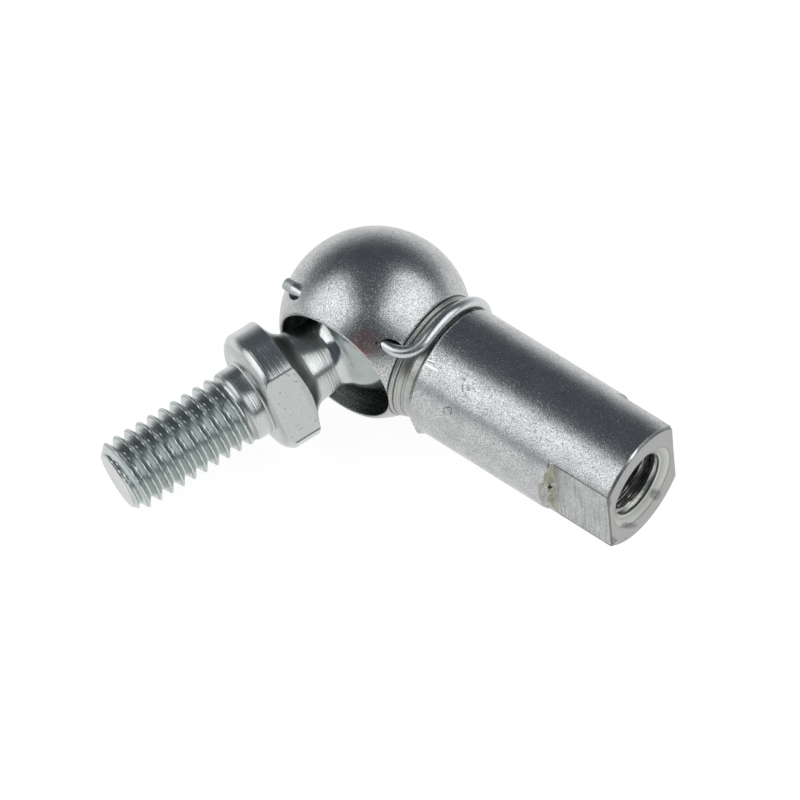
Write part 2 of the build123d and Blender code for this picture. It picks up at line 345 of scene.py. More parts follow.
def socket_profile(size):
    """Half section of the socket's outside along +X: (station, radius) pairs by arc length.

    Sphere for the head, cone with two tool lines and straight floor for the neck, a quarter circle at the
    shoulder, straight shank, chamfer and end.
    """
    neck_x = math.sqrt(size.head_radius ** 2 - size.cone_radius ** 2)
    turn = spaced(math.pi, math.atan2(size.cone_radius, neck_x), 0.022)
    head = size.head_radius * pairs(np.cos(turn), np.sin(turn))
    share = spaced(0.0, 1.0, 0.03)
    along = neck_x + size.cone_length * share
    slope = blend(size.cone_radius, size.neck_radius, share)
    lines = sum(np.exp(-((along - neck_x - at) / TOOL_LINE_WIDTH) ** 2) for at in TOOL_LINES)
    cone = pairs(along, slope - TOOL_LINE_DEPTH * lines)
    floor = pairs(spaced(neck_x + size.cone_length, size.shoulder_start, 0.08), size.neck_radius)
    rise = size.shank_radius - size.neck_radius
    turn = spaced(0.0, math.pi / 2, 0.12)
    shoulder = pairs(size.shoulder_start + rise * (1 - np.cos(turn)), size.neck_radius + rise * np.sin(turn))
    top = size.shoulder_start + rise
    flats = size.shank_length - size.flats_length
    stations = np.concatenate([
        spaced(top, top + 1.4, 0.07),
        spaced(top + 1.5, flats - 1.4, 0.4),
        spaced(flats - 1.3, flats + 0.3, 0.045),
        spaced(flats + 0.4, size.shank_length - size.end_chamfer, 0.3),
    ])
    shank = pairs(stations, size.shank_radius)
    end = pairs(size.shank_length, spaced(size.shank_radius - size.end_chamfer, 0.4, 0.3))
    return np.concatenate([head[1:], cone[1:], floor[1:], shoulder[1:], shank[1:], end])


def socket_skin(size):
    """Outside of the socket: its profile turned about +X, with the two wrench flats taken off.

    Columns are spread so that the corners of the flats fall on columns. One flat starts in a torn run-out, a ramp
    of uneven length with waves on it, and the other in a clean step. The shoulder's burr is a bell-shaped lump.
    """
    corner = math.asin(size.flats_across / 2 / size.shank_radius)
    corners = (-corner, corner, math.pi - corner, math.pi + corner, 2 * math.pi - corner)
    turn = np.concatenate([
        np.linspace(first, last, columns, endpoint=False)
        for first, last, columns in zip(corners, corners[1:], (58, 52, 58, 52))
    ])[None, :]
    profile = socket_profile(size)
    station = profile[:, :1]
    radius = profile[:, 1:]

    burr_x = (station - size.shoulder_start - BURR_PLACE[0]) / BURR_SPREAD[0]
    burr_turn = np.degrees(np.angle(np.exp(1j * (turn - math.radians(BURR_PLACE[1]))))) / BURR_SPREAD[1]
    burr = size.burr_height * np.exp(-burr_x ** 2 - burr_turn ** 2)
    radius = radius + burr * (station > size.shoulder_start)

    start = size.shank_length - size.flats_length
    beside = size.shank_radius * np.cos(turn)
    rise = size.shank_radius * np.abs(np.sin(turn))
    depth = np.maximum(rise - size.flats_across / 2, 0.0)
    reach = RUN_OUT + 0.16 * np.sin(1.9 * beside + 0.4) + 0.09 * np.sin(5.3 * beside + 1.9) - 0.05 * beside
    torn = np.clip((station - start + reach) / reach, 0.0, 1.0)
    waves = 0.14 * np.sin(9.0 * station + 1.5 * beside) + 0.12 * np.sin(4.7 * beside - 3.0 * station)
    torn = np.clip(torn + waves * 4 * torn * (1 - torn), 0.0, 1.0)
    clean = np.clip((station - start + STEP / 2) / STEP, 0.0, 1.0)
    wall = rise - depth * np.where(np.sin(turn) > 0, torn, clean)
    limit = np.where(depth > 0, wall / np.maximum(np.abs(np.sin(turn)), 0.1), size.shank_radius)
    chamfer = (station >= size.shank_length) * size.end_chamfer
    on_shank = station > start - RUN_OUT_MOST
    radius = np.where(on_shank, np.minimum(radius, limit - chamfer * 0.4), radius)
    return turned(station, radius, turn)


def mouth_tool(size):
    """Space inside the head, turned about the mouth's axis: seat, ring groove, bore and the flat mouth.

    The bore's wall carries a fine saw wave, the spiral that a boring tool leaves.
    """
    seat = spaced(-math.pi / 2, 0.0, 0.05)[1:]
    bowl = size.bore_radius * pairs(np.sin(seat), np.cos(seat))
    low = size.groove_height - size.groove_half
    high = size.groove_height + size.groove_half
    edge = MOUTH_EDGE
    rim = math.sqrt(size.head_radius ** 2 - size.mouth_height ** 2)
    groove = np.array([(low, size.bore_radius), (low, size.groove_radius), (high, size.groove_radius)])
    wall = spaced(high, size.mouth_height - edge, 0.06)
    bore = pairs(wall, size.bore_radius + TOOL_WAVE * np.mod(np.arange(len(wall)), 2))
    mouth = np.array([
        (size.mouth_height, size.bore_radius + edge),
        (size.mouth_height, rim - edge),
        (size.mouth_height - 1.2 * edge, rim + edge),
        (size.mouth_height - 1.2 * edge, rim + 3 * edge),
        (size.mouth_height + 3.0, rim + 3 * edge),
        (size.mouth_height + 3.0, 0.3),
    ])
    profile = np.concatenate([bowl, groove, bore, mouth])
    return turned(profile[:, :1], profile[:, 1:], full_turn(160), "Z")


def thread_wave(turns, crest, root):
    """Height of a 60 degree thread, 0 at the root and 1 at the crest, from its position in turns.

    A triangle wave cut flat at the crest and at the root.
    """
    wave = 2 * np.abs(turns - np.floor(turns) - 0.5)
    return np.clip((wave - root) / (1 - crest - root), 0.0, 1.0)


def tap_tool(size):
    """Tapped hole in the shank: drill point, thread that fades near the bottom, and countersink."""
    slope = math.tan(size.sink_angle / 2)
    bottom = size.shank_length - size.drill_depth
    point = bottom - size.drill_radius / math.tan(math.radians(DRILL_POINT))
    along = spaced(bottom, size.shank_length - 0.05, 0.0625)
    base = np.concatenate([
        [(point + 0.1, 0.15)],
        pairs(along, size.drill_radius),
        [(size.shank_length, size.sink_radius), (size.shank_length + 0.5, size.sink_radius + 0.5 * slope)],
    ])
    turn = full_turn(120)
    station = base[:, :1]
    start = size.shank_length - size.thread_depth
    fade = np.clip((station - start) / 1.5, 0.0, 1.0) * np.clip((size.shank_length - 0.3 - station) / 0.9, 0.0, 1.0)
    inside = (station > bottom) & (station < size.shank_length - 0.01)
    cut = TAP_CUT * thread_wave(station - turn / (2 * math.pi), 0.12, 0.12) * fade * inside
    radius = base[:, 1:] + cut
    sink = size.sink_radius + (station - size.shank_length) * slope
    radius = np.where(station > bottom, np.maximum(radius, sink), radius)
    return turned(station, radius, turn)


def pin_tool(size):
    """Cross hole for the clip's leg, drilled a little off square and torn wider on one side where it comes out."""
    along = spaced(-size.head_radius - 1.0, size.shoulder_start - 0.5, 0.4)
    torn = size.pin_hole_tear * np.clip(-(along + 1.5) / 0.8, 0.0, 1.0)
    points = turned(along[:, None], (size.pin_hole_radius + torn)[:, None], full_turn(48))
    axis = np.array([0.0, size.pin_y, size.pin_z]) / math.hypot(size.pin_y, size.pin_z)
    outwards = np.cross([1.0, 0.0, 0.0], axis)
    drift = -points[..., :1] * math.tan(size.pin_hole_skew) * outwards
    pull = torn[:, None, None] * (0.8 * outwards - 0.6 * axis)
    return points + drift + pull + np.array([0.0, size.pin_y, size.pin_z])


def make_socket(size, material):
    """Head, neck and shank in one piece, carved by the tools that the real one is machined with."""
    mesh = grid_mesh("socket_body", socket_skin(size), Matrix.Identity(4))
    piece = new_piece("socket_body", mesh, material)
    carve(piece, "mouth", mouth_tool(size))
    carve(piece, "tap", tap_tool(size))
    carve(piece, "pin", pin_tool(size))
    finish_carving(piece, SOCKET_PLACE, material, SOCKET_CRISP)
    return piece


# ---------------------------------------------------------------- stud

def stud_skin(size):
    """Ball, neck, collar and thread as one radius over height and angle.

    The ball is a circle in section. The neck is a parabola down to its waist and a cone after it, and it flares
    into the collar by a power of 2.6. The collar's seat side is a circle that meets the seat level, and the stud
    is a plain cylinder with a thread wave taken off it.
    """
    turn = full_turn(176)
    root_height = math.sqrt(size.ball_radius ** 2 - size.root_radius ** 2)
    polar = spaced(-math.pi / 2, math.atan2(root_height, size.root_radius), 0.045)[1:]
    ball = size.ball_radius * pairs(np.sin(polar), np.cos(polar))
    edge = 0.05
    drop = size.seat_height - size.collar_top
    width = size.collar_radius - size.seat_radius
    round_radius = (width ** 2 + drop ** 2) / (2 * drop)
    bend = spaced(math.asin(width / round_radius), 0.0, 0.09)
    crown = pairs(
        size.seat_height - round_radius * (1 - np.cos(bend)),
        size.seat_radius + round_radius * np.sin(bend),
    )
    share = np.linspace(0.0, 1.0, 9)[1:]
    waist = pairs(
        blend(root_height, size.waist_height, share),
        blend(size.waist_radius, size.root_radius, (1 - share) ** 2),
    )
    cone = pairs(
        blend(size.waist_height, size.neck_height, share),
        blend(size.waist_radius, size.neck_radius, share),
    )
    rise = size.collar_radius - edge - size.neck_radius
    flare = pairs(
        blend(size.neck_height, size.collar_height - 0.4 * edge, share),
        size.neck_radius + rise * (0.3 * share + 0.7 * share ** 2.6),
    )
    neck = np.concatenate([waist, cone, flare, [(size.collar_height + edge, size.collar_radius)]])
    side = pairs(spaced(size.collar_height + 2 * edge, size.collar_top, 0.3), size.collar_radius)
    seat = pairs(size.seat_height, spaced(size.seat_radius, size.thread_radius + 0.1, 0.3)[1:])
    tip = size.seat_height + size.thread_length
    shaft = pairs(spaced(size.seat_height + 0.1, tip, 0.042), size.thread_radius)
    end = pairs(tip, spaced(size.tip_radius - 0.1, 0.3, 0.4))
    profile = np.concatenate([ball, neck, side, crown, seat, shaft, end])
    height = profile[:, :1]
    radius = profile[:, 1:]

    on_shaft = (height > size.seat_height + 0.01) & (profile[:, 1:] == size.thread_radius)
    begin = size.seat_height + size.plain_length
    fade = np.clip((height - begin) / 1.3, 0.0, 1.0)
    wave = thread_wave((height - size.thread_crest) / size.thread_pitch - turn / (2 * math.pi), 0.10, 0.14)
    cut = size.thread_depth * (1 - wave) * fade
    chamfer = size.tip_radius + (tip - height) * (size.thread_radius - size.tip_radius) / size.tip_length
    radius = np.where(on_shaft, np.minimum(radius - cut, chamfer), radius)
    return turned(height, radius, turn, "Z")


def flat_tool(size, side):
    """Block that mills one wrench flat off the collar, from the neck's flare to beyond the seat."""
    near = size.flats_across / 2
    far = size.collar_radius + 0.5
    wide = size.collar_radius
    outline = np.array([(near, -wide), (far, -wide), (far, wide), (near, wide)])
    turn = size.flats_turn + side * math.pi
    corners = np.stack([
        outline[:, 0] * math.cos(turn) - outline[:, 1] * math.sin(turn),
        outline[:, 0] * math.sin(turn) + outline[:, 1] * math.cos(turn),
    ], axis=-1)
    levels = np.array([size.neck_height + 0.4, size.seat_height + 0.5])
    return np.concatenate([
        np.broadcast_to(corners, (2, 4, 2)),
        np.broadcast_to(levels[:, None, None], (2, 4, 1)),
    ], axis=-1)


def make_stud(size, material):
    """Ball stud turned in one piece, with the collar's two flats milled off."""
    mesh = grid_mesh("threaded_ball_stud", stud_skin(size), Matrix.Identity(4))
    piece = new_piece("threaded_ball_stud", mesh, material)
    carve(piece, "flat", flat_tool(size, 0))
    carve(piece, "flat", flat_tool(size, 1))
    finish_carving(piece, STUD_PLACE, material, STUD_CRISP)
    return piece


# ---------------------------------------------------------------- wire pieces

def tube(path, radius, columns, tip):
    """Round tube carried along a path of points, with rounded ends.

    Each section is square to the path's tangent. Its first direction is the last section's, laid square again,
    so the tube doesn't twist. The end sections shrink by a quarter circle over the tip length.
    """
    tangent = np.gradient(path, axis=0)
    tangent /= np.linalg.norm(tangent, axis=1)[:, None]
    side = np.zeros_like(path)
    hint = np.array([0.31, 0.29, 0.9])
    for index, along in enumerate(tangent):
        hint = hint - along * hint.dot(along)
        hint = hint / np.linalg.norm(hint)
        side[index] = hint
    other = np.cross(tangent, side)
    length = np.concatenate([[0.0], np.cumsum(np.linalg.norm(np.diff(path, axis=0), axis=1))])
    near = np.minimum(length, length[-1] - length) / tip
    shrink = np.where(near < 1.0, 0.72 + 0.28 * np.sqrt(1 - (1 - np.minimum(near, 1.0)) ** 2), 1.0)
    turn = np.linspace(0, 2 * math.pi, columns, endpoint=False)[None, :, None]
    reach = radius * shrink[:, None, None]
    return path[:, None, :] + reach * (np.cos(turn) * side[:, None, :] + np.sin(turn) * other[:, None, :])


def clip_path(size, socket):
    """Centre line of the safety clip: leg along +X, square bend, straight run and hook round the neck."""
    pin_angle = math.atan2(socket.pin_z, socket.pin_y)
    distance = math.hypot(socket.pin_y, socket.pin_z)
    touch = pin_angle - math.acos(size.hook_radius / distance)
    finish = pin_angle - size.hook_wrap
    corner = np.array([size.hook_x, socket.pin_y, socket.pin_z])
    contact = np.array([
        size.hook_x,
        size.hook_radius * math.cos(touch),
        size.hook_radius * math.sin(touch),
    ])
    run = (contact - corner) / np.linalg.norm(contact - corner)
    out = np.array([1.0, 0.0, 0.0])
    tip = -math.sqrt(socket.head_radius ** 2 - distance ** 2) - size.tip_reach
    bend = size.bend_radius
    leg_x = np.concatenate([
        tip + np.array([0.0, 0.03, 0.07, 0.12]),
        spaced(tip + 0.2, size.hook_x - bend, 0.3),
    ])
    leg = corner + (leg_x - size.hook_x)[:, None] * out
    turn = spaced(0.0, math.pi / 2, 0.09)[1:, None]
    centre = corner - bend * out + bend * run
    elbow = centre + bend * (np.sin(turn) * out - np.cos(turn) * run)
    share = spaced(0.0, 1.0, 0.2)[1:, None]
    straight = elbow[-1] + share * (contact - elbow[-1])
    sweep = np.concatenate([spaced(touch, finish + 0.03, 0.05)[1:], finish + np.array([0.02, 0.012, 0.0])])
    hook = np.stack([
        np.full_like(sweep, size.hook_x),
        size.hook_radius * np.cos(sweep),
        size.hook_radius * np.sin(sweep),
    ], axis=-1)
    return np.concatenate([leg, elbow, straight, hook])


def ring_path(size, socket):
    """Centre line of the snap ring: an open circle about the mouth's axis."""
    sweep = spaced(size.ring_turn, size.ring_turn + 2 * math.pi - size.ring_gap, 0.05)
    return np.stack([
        size.ring_radius * np.cos(sweep),
        size.ring_radius * np.sin(sweep),
        np.full_like(sweep, socket.groove_height),
    ], axis=-1)


# ---------------------------------------------------------------- materials

def linear(hex_code):
    """Linear RGBA from an sRGB hex code."""
    parts = [int(hex_code[i:i + 2], 16) / 255 for i in (0, 2, 4)]
    return [p / 12.92 if p <= 0.04045 else ((p + 0.055) / 1.055) ** 2.4 for p in parts] + [1.0]


def add(tree, kind, inputs=(), **settings):
    """Add a node of a kind with its settings, and give back its outputs.

    The kind is its type without the ShaderNode at the front. Its inputs, by name or number, are links from other
    nodes or plain values.
    """
    node = tree.nodes.new("ShaderNode" + kind)
    for key, value in settings.items():
        setattr(node, key, value)
    for key, value in dict(inputs).items():
        if isinstance(value, bpy.types.NodeSocket):
            tree.links.new(value, node.inputs[key])
        else:
            node.inputs[key].default_value = value
    return node.outputs


def start_material(name, metallic, roughness):
    """Empty material with its principled shader wired to the output."""
    material = bpy.data.materials.new(name)
    material.use_nodes = True
    tree = material.node_tree
    tree.nodes.clear()
    shader = tree.nodes.new("ShaderNodeBsdfPrincipled")
    shader.inputs["Metallic"].default_value = metallic
    shader.inputs["Roughness"].default_value = roughness
    add(tree, "OutputMaterial", {"Surface": shader.outputs[0]})
    return material, tree, shader


def local_millimetres(tree, matrix):
    """Vector socket with a point's place in a piece's own frame, in millimetres."""
    coordinates = add(tree, "TexCoord")
    inverse = matrix.inverted()
    return add(tree, "Mapping", {
        "Vector": coordinates["Object"],
        "Location": inverse.to_translation(),
        "Rotation": inverse.to_euler(),
        "Scale": inverse.to_scale(),
    }, vector_type="POINT")[0]


def turned_coordinates(tree, point, axis):
    """A point's height along an axis, distance from it, and both as one vector, in millimetres."""
    parts = add(tree, "SeparateXYZ", {0: point})
    others = [index for index in range(3) if index != axis]
    flat = add(tree, "CombineXYZ", {0: parts[others[0]], 1: parts[others[1]]})[0]
    radius = add(tree, "VectorMath", {0: flat}, operation="LENGTH")["Value"]
    both = add(tree, "CombineXYZ", {0: parts[axis], 1: radius})[0]
    return parts[axis], radius, both


def band(tree, value, low, high, soft):
    """Share that is 1 between two values and falls to 0 over a soft margin outside them."""
    rise = add(tree, "MapRange", {0: value, 1: low - soft, 2: low})[0]
    fall = add(tree, "MapRange", {0: value, 1: high, 2: high + soft, 3: 1.0, 4: 0.0})[0]
    return add(tree, "Math", {0: rise, 1: fall}, operation="MULTIPLY")[0]


def zone(tree, first, second):
    """Share that is 1 where two bands meet, each given by its value, low, high and soft margin."""
    return add(tree, "Math", {0: band(tree, *first), 1: band(tree, *second)}, operation="MULTIPLY")[0]


def patch(tree, point, centre, reach, ragged):
    """Share that is 1 at a place and falls to 0 at its reach, with a ragged edge, in millimetres."""
    waver = add(tree, "TexNoise", {"Vector": point, "Scale": 2.4, "Detail": 3.0})[0]
    gap = add(tree, "VectorMath", {0: point, 1: centre}, operation="DISTANCE")["Value"]
    edge = add(tree, "Math", {0: waver, 1: ragged, 2: gap}, operation="MULTIPLY_ADD")[0]
    return add(tree, "MapRange", {
        0: edge, 1: reach + 0.5 * ragged, 2: 0.4 * reach + 0.5 * ragged, 3: 0.0, 4: 1.0})[0]


def mark(tree, point, centre, along, half_length, half_width):
    """Share that is 1 in a thin spindle and 0 outside it, from its centre, direction and half sizes in millimetres."""
    local = add(tree, "Mapping", {
        "Vector": point,
        "Location": centre,
        "Rotation": Vector(along).to_track_quat("X", "Z").to_euler(),
        "Scale": (half_length, half_width, half_width),
    }, vector_type="TEXTURE")[0]
    gap = add(tree, "VectorMath", {0: local}, operation="LENGTH")["Value"]
    return add(tree, "MapRange", {0: gap, 1: 1.0, 2: 0.55, 3: 0.0, 4: 1.0})[0]


def marks(tree, point, places):
    """Share that is 1 in any of the spindles of a list of places."""
    share = mark(tree, point, *places[0])
    for place_of_mark in places[1:]:
        share = add(tree, "Math", {0: share, 1: mark(tree, point, *place_of_mark)}, operation="MAXIMUM")[0]
    return share


def lay(tree, colour, tone, *shares):
    """Colour with a tone, in sRGB hex, laid over it by the product of the shares."""
    share = shares[0]
    for other in shares[1:]:
        share = add(tree, "Math", {0: share, 1: other}, operation="MULTIPLY")[0]
    return add(tree, "Mix", {0: share, 6: colour, 7: linear(tone)}, data_type="RGBA")[2]


def wire_metal(tree, shader, relief, rough, dulling):
    """Wire a metal's bump and roughness to its shader.

    The bump's height is the sum of the relief's pairs, a pattern times a height in millimetres, and the roughness
    is a start plus the sum of the dulling's pairs, a share times a rise.
    """
    sums = []
    for total, layers in ((0.0, relief), (rough, dulling)):
        for share, amount in layers:
            total = add(tree, "Math", {0: share, 1: amount, 2: total}, operation="MULTIPLY_ADD")[0]
        sums.append(total)
    bump = add(tree, "Bump", {"Height": sums[0], "Distance": MM})[0]
    tree.links.new(bump, shader.inputs["Normal"])
    tree.links.new(sums[1], shader.inputs["Roughness"])


# Marks on the socket, in its own millimetres: centre, direction, half length and half width.
BRUISES_AND_SHADOWS = (
    ((10.22, 2.40, 4.47), (0.26, -0.50, 0.27), 0.40, 0.10),
    ((10.78, 2.65, 4.32), (0.15, -0.62, 0.38), 0.42, 0.10),
    ((10.40, 2.80, 4.23), (0.61, 0.31, -0.20), 0.36, 0.08),
    ((10.66, 4.54, 2.25), (-0.03, -0.36, 0.71), 0.45, 0.09),
    ((10.85, 4.19, 2.86), (0.42, -0.34, 0.51), 0.40, 0.09),
    ((11.29, 4.27, 2.76), (1.0, 0.0, 0.0), 0.24, 0.18),
    ((7.62, 4.38, 2.57), (1.02, 0.08, -0.13), 0.55, 0.06),
    # The next two are dark marks in the countersink: a dark patch, and a painted shadow where the countersink meets the
    # end face.
    ((24.90, -3.05, -1.55), (0.25, -0.90, -0.45), 0.85, 0.55),
    ((25.05, -2.95, 1.80), (0.0, -2.74, -2.22), 1.70, 0.32),
    ((25.05, 2.70, 3.75), (0.0, 1.0, 0.0), 0.80, 0.24),
    ((25.05, -2.60, 3.70), (0.0, 1.0, 0.0), 0.75, 0.28),
    ((25.00, 4.90, 1.30), (0.0, 0.3, -1.0), 0.70, 0.18),
)
PITS = (
    ((7.35, 4.32, -2.67), (1.0, 0.0, 0.0), 0.17, 0.13),
    ((3.58, 4.94, 3.83), (1.0, 0.0, 0.0), 0.14, 0.11),
    ((19.60, 0.12, 4.03), (0.38, 0.82, 0.39), 1.60, 0.21),
    ((19.80, 0.32, 4.03), (0.38, 0.82, 0.39), 1.60, 0.10),
    ((25.10, -2.89, 3.43), (0.0, 1.0, 0.0), 0.16, 0.12),
    ((25.10, -3.90, 2.35), (0.0, 1.0, 0.0), 0.10, 0.09),
)
SCRATCHES = (
    ((7.85, 4.23, 2.82), (1.54, 0.06, -0.09), 0.80, 0.10),
    ((7.55, 4.42, 2.50), (1.02, 0.08, -0.13), 0.45, 0.05),
    ((25.00, 5.00, 0.50), (0.0, 0.2, -1.0), 1.10, 0.12),
)
STAIN_PLACE = (2.95, 4.9, 4.4)
UNDER_THE_BEND = ((5.99, 3.21, 3.37), (0.0, 0.7, -0.7), 0.9, 0.3)
ENDLESS = 40.0  # beyond either end of every piece, in millimetres


def tumbled_zinc(looks):
    """Zinc plate on a turned steel body that was tumbled before plating.

    The plate gives a satin sheen, broken by fine grain, dark specks and soft clouds. Turned and milled places,
    done after tumbling, keep their tool lines and are duller. Painted shade darkens the neck's creases, the thin
    edges, the tapped hole and the countersink.
    """
    material, tree, shader = start_material("tumbled_zinc_plate", 1.0, 0.3)
    size = settings().socket
    point = local_millimetres(tree, SOCKET_PLACE)
    station, radius, lathe = turned_coordinates(tree, point, 0)
    up, around, bored = turned_coordinates(tree, point, 2)

    # where tools went last: rings on the neck, the countersink and the end, lines across on the flats
    start = size.shank_length - size.flats_length
    crease = math.sqrt(size.head_radius ** 2 - size.cone_radius ** 2)
    neck = band(tree, station, crease + 0.02, size.shoulder_start + 0.1, 0.05)
    end = band(tree, station, size.shank_length - 0.03, size.shank_length + 1.0, 0.02)
    inner = zone(tree, (radius, -1.0, size.sink_radius + 0.02, 0.02), (station, 12.0, ENDLESS, 0.5))
    lathed = add(tree, "Math", {0: end, 1: inner}, operation="MAXIMUM")[0]
    lathed = add(tree, "Math", {0: lathed, 1: neck}, operation="MAXIMUM")[0]
    away = add(tree, "Math", {0: up}, operation="ABSOLUTE")[0]
    half = size.flats_across / 2
    milled = zone(tree, (away, half - 0.03, half + 0.03, 0.03), (station, start, ENDLESS, 0.1))
    tool = add(tree, "Math", {0: lathed, 1: milled}, operation="MAXIMUM")[0]
    across = add(tree, "VectorMath", {0: point, 1: (1.0, 0.05, 0.05)}, operation="MULTIPLY")[0]

    # coordinates, scale for each millimetre, detail and roughness of the noise patterns
    rings, lines, spiral, grain, peel, seed, cloud = (
        add(tree, "TexNoise", {"Vector": place, "Scale": scale, "Detail": detail, "Roughness": mix})[0]
        for place, scale, detail, mix in (
            (lathe, 6.0, 2.0, 0.6),  # rings and lines are coarser than the tool's real feed, so that they show
            (across, 6.5, 3.0, 0.65),
            (bored, 5.0, 1.0, 0.5),
            (point, 11.0, 2.0, 0.8),  # grain of the tumbled surface, about a tenth of a millimetre
            (point, 1.4, 2.0, 0.5),  # wider orange peel under it
            (point, 6.5, 2.0, 0.7),
            (point, 0.6, 4.0, 0.6),
        ))
    pits = add(tree, "MapRange", {0: seed, 1: 0.59, 2: 0.71})[0]

    # colour: bright and dull grains, dulled in clouds and specks
    share = add(tree, "MapRange", {0: grain, 1: 0.38, 2: 0.60})[0]
    colour = lay(tree, linear(looks.socket_light), looks.socket_dark, share)
    share = add(tree, "MapRange", {0: cloud, 1: 0.42, 2: 0.7, 4: 0.5})[0]
    colour = lay(tree, colour, looks.socket_dark, share)
    colour = lay(tree, colour, looks.speck_and_shade, pits, 0.5)

    # the countersink, the neck with painted shade in its two tool lines and at the shoulder's foot, streaks along the
    # rings, and painted shade as dark streaks inside the tapped hole
    colour = lay(tree, colour, looks.sink, inner, band(tree, station, 24.0, ENDLESS, 0.3))
    uneven = add(tree, "MapRange", {0: peel, 1: 0.4, 2: 0.6, 3: 0.2, 4: 0.6})[0]
    colour = lay(tree, colour, looks.groove, neck, uneven)
    # painted shade: dark lines in the neck's two tool lines and in the crease at the shoulder's foot
    crease_shade = band(tree, station, size.shoulder_start - 0.1, size.shoulder_start - 0.02, 0.03)
    for at in TOOL_LINES:
        line = band(tree, station, crease + at - 0.04, crease + at + 0.04, 0.03)
        crease_shade = add(tree, "Math", {0: crease_shade, 1: line}, operation="MAXIMUM")[0]
    colour = lay(tree, colour, looks.bruise_and_shade, crease_shade, 0.75)
    streak = add(tree, "MapRange", {0: rings, 1: 0.48, 2: 0.62, 4: 0.6})[0]
    share = add(tree, "Math", {0: neck, 1: inner}, operation="MAXIMUM")[0]
    colour = lay(tree, colour, looks.speck_and_shade, streak, share)
    # painted shade: dark streaks over the inside of the tapped hole
    streak = add(tree, "MapRange", {0: rings, 1: 0.45, 2: 0.55, 4: 0.9})[0]
    colour = lay(tree, colour, looks.bruise_and_shade, streak, inner, band(tree, station, 12.0, 24.2, 0.1))

    # the turned end and the milled flats, and streaks along the flats
    flatly = add(tree, "Math", {0: end, 1: milled}, operation="MAXIMUM")[0]
    dull = add(tree, "MapRange", {0: milled, 3: 0.8, 4: 0.15})[0]
    colour = lay(tree, colour, looks.cut_face, flatly, dull)
    streak = add(tree, "MapRange", {0: lines, 1: 0.5, 2: 0.66, 4: 0.45})[0]
    colour = lay(tree, colour, looks.speck_and_shade, streak, milled)

    # turned lines inside the mouth, round its own axis
    streak = add(tree, "MapRange", {0: spiral, 1: 0.47, 2: 0.58, 4: 0.4})[0]
    bore = size.bore_radius
    wall = zone(tree, (around, bore - 0.1, bore + 0.05, 0.03), (up, 0.0, size.mouth_height - 0.1, 0.03))
    colour = lay(tree, colour, looks.speck_and_shade, streak, wall)

    # the stain on the head, and yellow passivation in the torn run-out and under the wire's bend
    colour = lay(tree, colour, looks.stain, patch(tree, point, STAIN_PLACE, 1.45, 0.9), 0.75)
    sunk = add(tree, "MapRange", {0: radius, 1: size.shank_radius - 0.01, 2: size.shank_radius - 0.05})[0]
    torn = add(tree, "Math", {
        0: band(tree, station, start - 1.5, start - 0.02, 0.05), 1: sunk}, operation="MULTIPLY")[0]
    under = mark(tree, point, *UNDER_THE_BEND)
    share = add(tree, "Math", {0: torn, 1: under}, operation="MAXIMUM")[0]
    blotch = add(tree, "MapRange", {0: lines, 1: 0.36, 2: 0.6, 3: 0.25, 4: 0.85})[0]
    colour = lay(tree, colour, looks.khaki, share, blotch)

    # painted shade as thin dark edges at the flats' corners and round the end's chamfer, then the marks
    rim = band(tree, radius, size.shank_radius - 0.07, size.shank_radius + 0.1, 0.03)
    corner = add(tree, "Math", {0: milled, 1: rim}, operation="MULTIPLY")[0]
    chamfer = zone(
        tree,
        (station, size.shank_length - 0.16, size.shank_length - 0.03, 0.03),
        (radius, size.sink_radius + 0.3, ENDLESS, 0.1))
    share = add(tree, "Math", {0: corner, 1: chamfer}, operation="MAXIMUM")[0]
    colour = lay(tree, colour, looks.speck_and_shade, share, 0.75)
    colour = lay(tree, colour, looks.scratch, marks(tree, point, SCRATCHES))
    broken = add(tree, "MapRange", {0: grain, 1: 0.44, 2: 0.56, 3: 0.35, 4: 0.95})[0]
    colour = lay(tree, colour, looks.speck_and_shade, marks(tree, point, BRUISES_AND_SHADOWS), broken)
    colour = lay(tree, colour, looks.bruise_and_shade, marks(tree, point, PITS))
    tree.links.new(colour, shader.inputs["Base Color"])

    fine = add(tree, "MapRange", {0: tool, 3: 0.008, 4: 0.001})[0]
    rough = add(tree, "MapRange", {0: grain, 1: 0.3, 2: 0.7, 3: 0.22, 4: 0.32})[0]
    relief = [(peel, 0.014), (grain, fine), (pits, -0.007)]
    for pattern, place_of_tool, high in ((rings, lathed, 0.03), (lines, milled, 0.02)):
        relief.append((pattern, add(tree, "MapRange", {0: place_of_tool, 3: 0.0, 4: high})[0]))
    wire_metal(tree, shader, relief, rough, [(tool, 0.1)])
    return material


